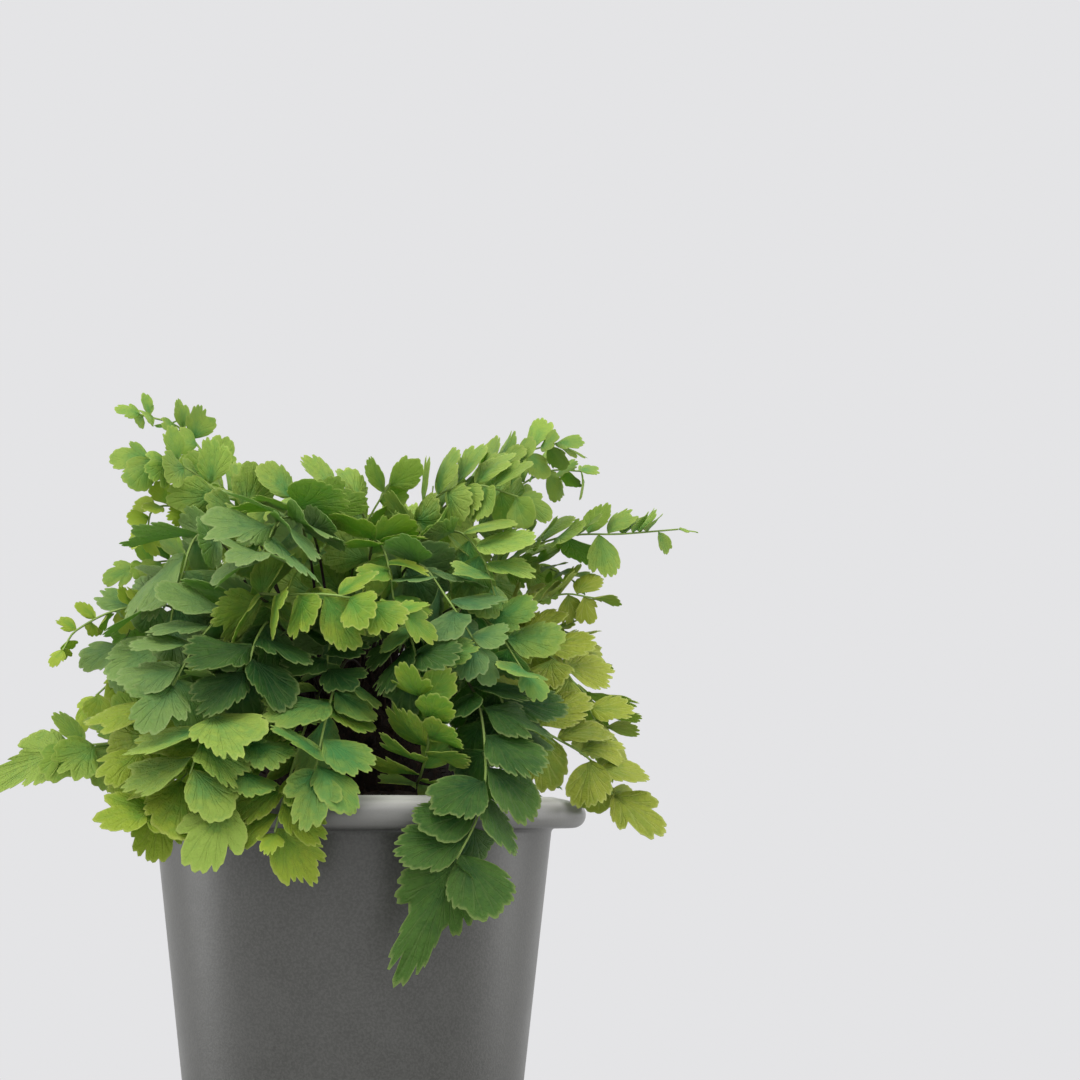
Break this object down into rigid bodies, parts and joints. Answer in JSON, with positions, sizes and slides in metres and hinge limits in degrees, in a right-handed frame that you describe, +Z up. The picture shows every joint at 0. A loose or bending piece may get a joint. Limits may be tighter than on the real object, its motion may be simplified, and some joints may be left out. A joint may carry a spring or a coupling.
{
  "type": "potted fern",
  "caption": "Potted live fern: toothed bright-green fronds arching from a dark rootstock over the rolled rim of a plain satin grey pot.",
  "frame": {"origin": "middle of the pot's flat base, on the pot's axis", "axes": "+Z up along the pot's axis; -Y is the front, where the lowest fronds hang over the rim; +X is to the right seen from the front"},
  "size_m": [0.1822, 0.1536, 0.2139],
  "materials": {
    "pot_glaze": "satin warm-grey glaze, fine speckle, glossier on the rolled rim",
    "soil": "dark, moist peat and bark potting soil",
    "rootstock_fibre": "nearly black fibrous rootstock with old stalk bases",
    "frond_green": "soft satin mid-green fern leaflets with forked veins",
    "frond_young": "translucent yellow-green young leaflets",
    "frond_olive": "olive-green leaflets with pale veins and margin",
    "frond_deep": "dark green older leaflets with pale veins",
    "frond_pale": "matt grey-green leaflets"
  },
  "bodies": {
    "root": {"pot": "pot_glaze", "potting_soil": "soil", "rootstock": "rootstock_fibre", "frond_small_fresh": "frond_young", "frond_front_right_hanging": "frond_deep", "frond_front_hanging": "frond_young", "frond_front_left_hanging": "frond_young", "frond_right_hanging": "frond_olive", "frond_right_upper_hanging": "frond_olive", "frond_right_long": "frond_green", "frond_top_right": "frond_green", "frond_top_right_back": "frond_green", "frond_top_left": "frond_green", "frond_top_left_front": "frond_green", "frond_over_left": "frond_pale", "frond_left_grey": "frond_pale", "frond_left_young": "frond_young", "frond_left_curled": "frond_young", "frond_left_low": "frond_green", "frond_left_low_back": "frond_young", "frond_left_shoulder": "frond_green", "frond_centre_bright": "frond_young", "frond_centre_low": "frond_deep", "frond_front_left": "frond_green", "frond_front_middle_left": "frond_green", "frond_front_middle": "frond_green", "frond_front_left_outer": "frond_young", "frond_front_left_upper": "frond_pale", "frond_centre_right": "frond_deep", "frond_over_right": "frond_pale", "frond_over_middle": "frond_young", "frond_crown_left_wide": "frond_green", "frond_crown_right_wide": "frond_green", "frond_crown_left": "frond_green", "frond_crown_middle": "frond_green", "frond_crown_right": "frond_green", "frond_middle": "frond_green", "frond_middle_right": "frond_green", "frond_right_middle": "frond_olive", "frond_right_dark": "frond_olive", "frond_right_shoulder": "frond_green", "frond_left_middle": "frond_pale", "frond_inner_right": "frond_deep", "frond_inner_left": "frond_deep", "frond_inner_middle": "frond_deep", "frond_back_right": "frond_green", "frond_back_middle": "frond_green", "frond_back_left": "frond_green", "frond_back_right_hanging": "frond_deep", "frond_back_left_hanging": "frond_green", "frond_back_hanging": "frond_young", "frond_back_right_low": "frond_olive", "frond_back_left_low": "frond_deep", "frond_back_right_top": "frond_green", "frond_back_left_top": "frond_green", "frond_back_inner_left": "frond_deep", "frond_back_inner_right": "frond_deep", "frond_back_inner_middle": "frond_deep", "frond_back_foot_left": "frond_deep", "frond_back_foot_right": "frond_deep"}
  },
  "joints": []
}
